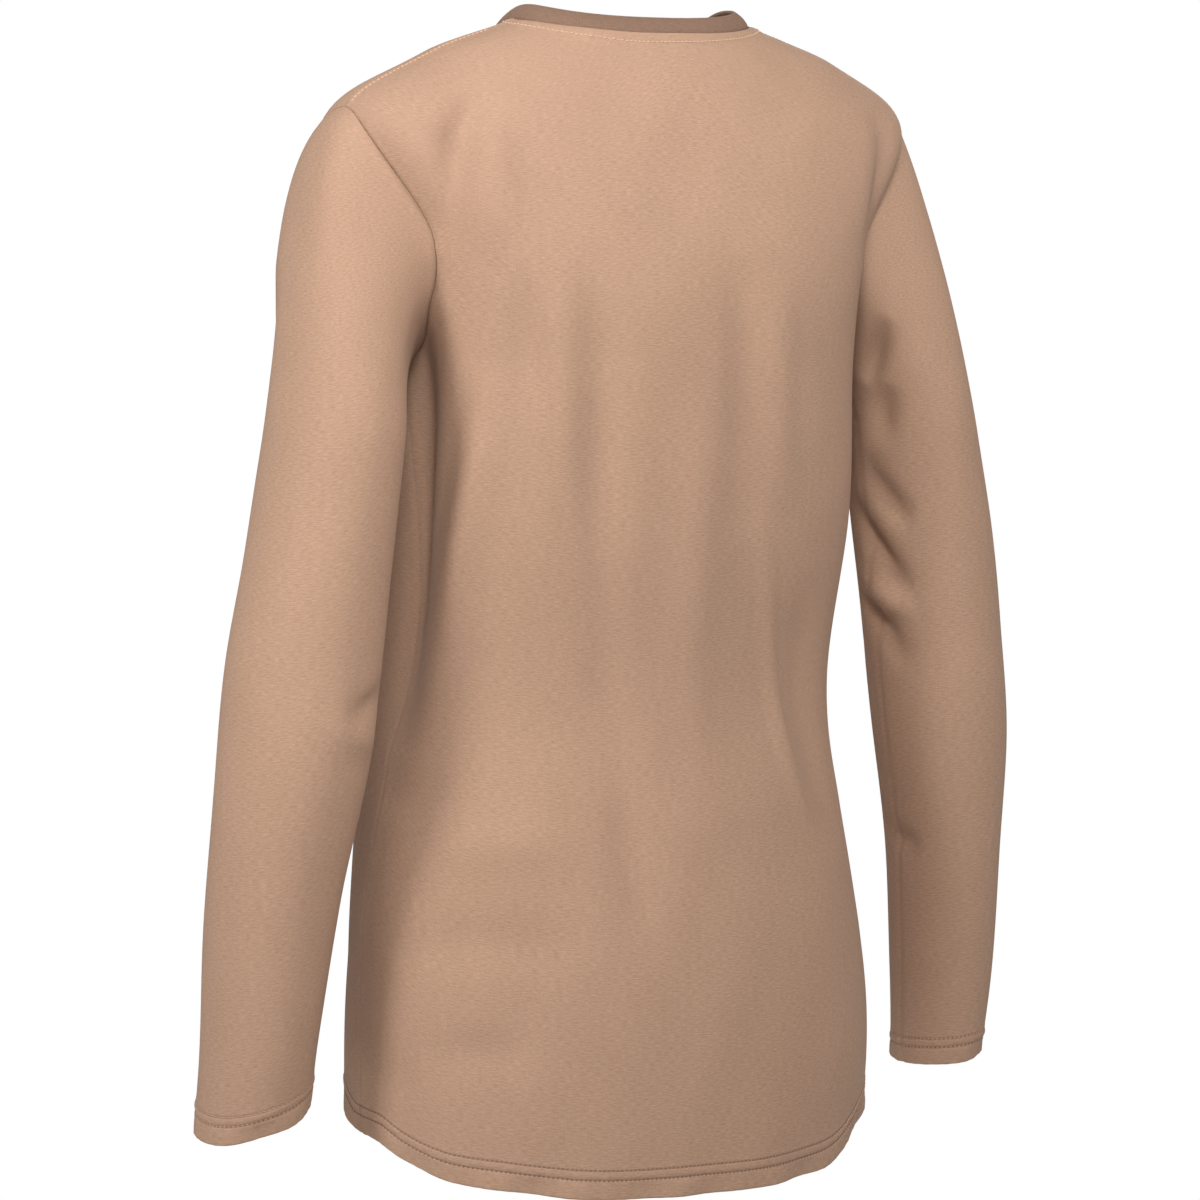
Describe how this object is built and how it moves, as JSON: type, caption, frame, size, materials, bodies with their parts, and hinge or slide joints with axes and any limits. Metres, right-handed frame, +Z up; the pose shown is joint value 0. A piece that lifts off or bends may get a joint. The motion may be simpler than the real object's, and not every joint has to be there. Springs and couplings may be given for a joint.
{
  "type": "henley shirt",
  "caption": "Long-sleeved fine-knit henley shirt with a rib neckband, short buttoned placket and curved shirttail hem, filled out as worn.",
  "frame": {"origin": "middle of the neck, level with the points where the shoulder seams meet the neckband", "axes": "+Z up, +X towards the wearer's left, the front faces -Y"},
  "size_m": [0.5501, 0.2308, 0.7051],
  "materials": {
    "cloth_back": "matt fine-gauge knit",
    "cloth_front": "matt fine-gauge knit",
    "cloth_sleeve_left": "matt fine-gauge knit",
    "cloth_sleeve_right": "matt fine-gauge knit",
    "cloth_placket_over": "matt fine-gauge knit",
    "cloth_placket_under": "matt fine-gauge knit",
    "rib": "matt fine rib knit",
    "button": "soft gloss, tone on tone"
  },
  "bodies": {
    "root": {"back": "cloth_back", "front": "cloth_front", "sleeve_left": "cloth_sleeve_left", "sleeve_right": "cloth_sleeve_right", "neck_band": "rib", "placket_over": "cloth_placket_over", "placket_under": "cloth_placket_under", "button_1": "button", "button_2": "button", "button_3": "button"}
  },
  "joints": []
}
